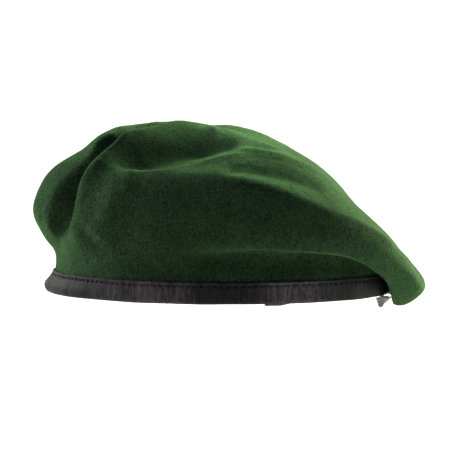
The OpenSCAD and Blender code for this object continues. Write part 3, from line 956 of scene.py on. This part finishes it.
def make_tail(name, body, corners, tape):
    """A trimmed end of ribbed tape between four corners: its root's two ends, then its tip's."""
    rows, columns = 30, 44
    v = np.linspace(0, 1, rows)[:, None, None]
    w = np.linspace(0, 1, columns)[None, :, None]
    a, b, c, d = np.array(corners, float)
    v_in = smooth(v) * 0.35 + v * 0.65
    middle = (a + (b - a) * w) * (1 - v_in) + (c + (d - c) * w) * v_in
    across = unit(np.cross(b - a, c - a))
    folds = 0.40 * np.cos((w * 2 - 1) * math.pi * 1.4) * (1 - 0.4 * v) + 0.11 * np.cos(w * math.pi * 14)
    middle = middle + across * folds
    piece = cloth_patch(name, middle + TAIL_HALF_T * across, middle - TAIL_HALF_T * across)
    finish_piece(piece, tape, "tape", body, "drawstring_" + name)


# ---- The lining and what is inside ----

# How many gathers there are round the lining, and how deep they are at its seam.
GATHERS = 24
GATHER_DEPTH = 0.5
# The label's edges on the dome, in degrees round and up, and where its tacks are.
LABEL_FROM = (6, 22)
LABEL_TO = (26, 33)
TACK_ROUND = (6.8, 25.2)
TACK_UP = (23, 32)
TACK_R = 0.22
# The stiffener's edges on the crown, in stations and rows, and its two faces' depths below the felt.
STIFFENER_S = (9.1, 10.9)
STIFFENER_U = (2.35, 4.8)
STIFFENER_DEPTHS = (0.6, 2.0)


def dome(phi, rise, depth):
    """The lining's dome, as in the CAD source, as a grid of points."""
    power = 2 / LINING_SQUARENESS
    phi, rise = np.radians(phi)[None, :], np.radians(rise)[:, None]
    r = np.cos(rise) ** power
    a = HEAD_LENGTH / 2 - 0.1 - depth
    b = HEAD_WIDTH / 2 - 0.1 - depth
    z = LINING_Z + (LINING_H - depth) * np.sin(rise) ** power
    return np.stack(np.broadcast_arrays(a * r * np.cos(phi), b * r * np.sin(phi), z), -1)


def make_lining(cotton):
    phi = np.arange(240) * 360 / 240
    gathers = GATHER_DEPTH * np.cos(np.radians(phi * GATHERS))[None, :, None]

    def wrinkled(rises, depth):
        """The dome at those rises, with loose wrinkles, and gathered at the seam."""
        grid = dome(phi, rises, depth)
        seam = np.exp(-(((rises - LINING_SEAM) / 5) ** 2))[:, None, None]
        n = grid_normals(grid)
        return lean(grid - n * (0.7 + 0.7 * rough(grid, 22, 4.0)[..., None] + gathers * seam))

    side_rises = np.linspace(0, LINING_SEAM - 0.3, 30)
    side = cloth_ring("lining_side_cloth", wrinkled(side_rises, 0), wrinkled(side_rises, LINING_T))
    finish_piece(side, cotton, "lining", HAT, "lining_side")
    crown_rises = np.linspace(LINING_SEAM, 88, 40)
    outer, inner = wrinkled(crown_rises, 0), wrinkled(crown_rises, LINING_T)
    crown = cloth_dome("lining_crown_cloth", outer, outer[-1].mean(0), inner, inner[-1].mean(0))
    finish_piece(crown, cotton, "lining", HAT, "lining_crown")


def make_label(label, thread):
    phi = np.linspace(LABEL_FROM[0], LABEL_TO[0], 24)
    rises = np.linspace(LABEL_FROM[1], LABEL_TO[1], 14)
    face = lean(dome(phi, rises, LINING_T + 2.2))
    back = lean(dome(phi, rises, LINING_T + 1.8))
    piece = cloth_patch("blank_label", back, face)
    finish_piece(piece, label, "label", HAT, "size_label")
    bars = []
    for p in TACK_ROUND:
        for r in np.linspace(*TACK_UP, 5):
            spot = lean(dome(np.array([p]), np.array([r - 0.5, r + 0.5]), LINING_T + 2.3))[:, 0]
            bars.append((spot[0], spot[1]))
    finish_piece(many_bars("label_thread", bars, TACK_R), thread, "thread", HAT, "label_stitches")


def make_stiffener(buckram):
    s = np.linspace(*STIFFENER_S, 40)
    u = np.linspace(*STIFFENER_U, 40)

    def inset(depth):
        """The crown's outer face moved in by that depth."""
        grid = skin(s, u)
        along = np.gradient(grid, axis=1)
        up = np.gradient(grid, axis=0)
        return lean(grid - depth * unit(np.cross(along, up)))

    piece = cloth_patch("buckram_stiffener", *[inset(FELT_T + d) for d in STIFFENER_DEPTHS])
    finish_piece(piece, buckram, "stiffener", HAT, "badge_stiffener")


# ---- The vents ----

# (radius, height) points of the washer's section, with heights from the felt's outer face.
WASHER = [(3.0, -3.95), (4.4, -3.95), (4.6, -3.75), (4.4, -3.5), (3.0, -3.4)]
# And of the barrel's, below its rolled flange.
BARREL = [(2.2, -1.2), (2.2, -3.4), (2.35, -3.9), (2.8, -3.9), (2.8, -1.1), (3.4, -0.85)]


def lathe(name, profile, centre, axis, steps=64):
    """A ring of the closed profile [(radius, height)] turned about an axis."""
    helper = np.array([0, 0, 1.0])
    p = unit(np.cross(axis, helper))
    q = np.cross(axis, p)
    rings = []
    for k in range(steps):
        a = 2 * math.pi * k / steps
        way = math.cos(a) * p + math.sin(a) * q
        rings.append([centre + r * way + h * axis for r, h in profile])
    return swept(name, rings, closed=True)


def eyelet_profile():
    """A rolled flange and a barrel."""
    lip = [(3.45 + 1.25 * math.cos(math.radians(a)), -0.55 + 0.65 * math.sin(math.radians(a)))
           for a in range(-30, 181, 15)]
    return lip + BARREL


def make_vents(enamel):
    near = np.array([-0.02, 0, 0.02])
    for name, (station, row), barrel, washer in (
            ("eyelet_front", VENTS[0], "vent_eyelet_front", "eyelet_washer_front"),
            ("eyelet_rear", VENTS[1], "vent_eyelet_rear", "eyelet_washer_rear")):
        grid = skin(station + near, row + near)
        axis = unit(np.cross(grid[1, 2] - grid[1, 0], grid[2, 1] - grid[0, 1]))
        centre = grid[1, 1]
        finish_piece(lathe(name, eyelet_profile(), centre, axis), enamel, "eyelet", HAT, barrel)
        finish_piece(lathe(name + "_washer", WASHER, centre, axis), enamel, "eyelet", HAT, washer)


# ---- The stage, in metres ----

FLOOR_Z = -0.14
FLOOR_HALF = 3.0
FLOOR_BACK = 2.2
FLOOR_BEND = 0.9
FLOOR_TOP = 2.5
WORLD_COLOUR = (0.88, 1.0, 1.5, 1)


def make_stage():
    """A pale floor that curves up behind."""
    profile = [(-FLOOR_HALF, 0.0)]
    for a in range(0, 91, 6):
        turn = math.radians(a)
        y = FLOOR_BACK - FLOOR_BEND + FLOOR_BEND * math.sin(turn)
        profile.append((y, FLOOR_BEND - FLOOR_BEND * math.cos(turn)))
    profile.append((FLOOR_BACK, FLOOR_TOP))
    points = [(x, y, z) for x in (-FLOOR_HALF * 1.5, FLOOR_HALF * 1.5) for y, z in profile]
    n = len(profile)
    mesh = bpy.data.meshes.new("floor")
    mesh.from_pydata(points, [], [(i, n + i, n + i + 1, i + 1) for i in range(n - 1)])
    mesh.polygons.foreach_set("use_smooth", [True] * len(mesh.polygons))
    floor = bpy.data.objects.new("floor", mesh)
    floor.location = (0, 0, FLOOR_Z)
    bpy.context.scene.collection.objects.link(floor)
    floor.data.materials.append(floor_material())


def make_world():
    """Soft light from everywhere but the front and straight above."""
    scene = bpy.context.scene
    scene.view_settings.view_transform = "Standard"
    world = bpy.data.worlds.new("studio")
    scene.world = world
    world.use_nodes = True
    tree = world.node_tree
    background = tree.nodes["Background"]
    coords = tree.nodes.new("ShaderNodeTexCoord")
    split = tree.nodes.new("ShaderNodeSeparateXYZ")
    tree.links.new(coords.outputs["Generated"], split.inputs[0])

    def step(axis, start, end, low, high):
        """From low to high as the direction's part along an axis goes from start to end."""
        made = tree.nodes.new("ShaderNodeMapRange")
        made.interpolation_type = "SMOOTHSTEP"
        made.inputs["From Min"].default_value = start
        made.inputs["From Max"].default_value = end
        made.inputs["To Min"].default_value = low
        made.inputs["To Max"].default_value = high
        tree.links.new(split.outputs[axis], made.inputs["Value"])
        return made.outputs["Result"]

    both = tree.nodes.new("ShaderNodeMath")
    both.operation = "MULTIPLY"
    tree.links.new(step("Y", -0.6, 0.3, 0.06, 1.1), both.inputs[0])
    tree.links.new(step("Z", 0.0, 0.75, 1.0, 0.08), both.inputs[1])
    tree.links.new(both.outputs[0], background.inputs["Strength"])
    background.inputs["Color"].default_value = WORLD_COLOUR


def make_lamp(name, place, width, height, power, colour):
    """A softbox that faces the hat."""
    light = bpy.data.lights.new(name, "AREA")
    light.shape = "RECTANGLE"
    light.size = width
    light.size_y = height
    light.energy = power
    light.color = colour
    lamp = bpy.data.objects.new(name, light)
    lamp.location = place
    lamp.rotation_euler = (-lamp.location).to_track_quat("-Z", "Y").to_euler()
    bpy.context.scene.collection.objects.link(lamp)


make_camera()
make_stage()
make_world()
make_lamp("softbox", (1.08, 0.96, 0.49), 1.4, 1.0, 60, (1.0, 0.99, 0.70))
make_lamp("side_box", (-1.15, 0.42, 0.70), 0.7, 0.7, 12.5, (1.0, 0.98, 0.85))
felt = felt_material()
leather = leather_material()
thread = thread_material()
tape = woven_material("ribbed_tape", (0.08, 0.06, 0.07), (0.78, 0.70, 0.76), 1.1, 0.2, turn=(0, 60, 0))
cotton = woven_material("black_cotton", (0.010, 0.011, 0.011), (0.035, 0.038, 0.038), 0.35, 0.5, 0.6)
label = woven_material("label_weave", (0.55, 0.54, 0.50), (0.78, 0.77, 0.73), 0.3, 0.2)
buckram = woven_material("buckram", (0.04, 0.04, 0.035), (0.14, 0.14, 0.12), 0.9)
enamel = enamel_material()
make_crown(felt)
make_binding(leather)
make_stitches(thread)
make_drawstring(tape)
make_lining(cotton)
make_label(label, thread)
make_stiffener(buckram)
make_vents(enamel)
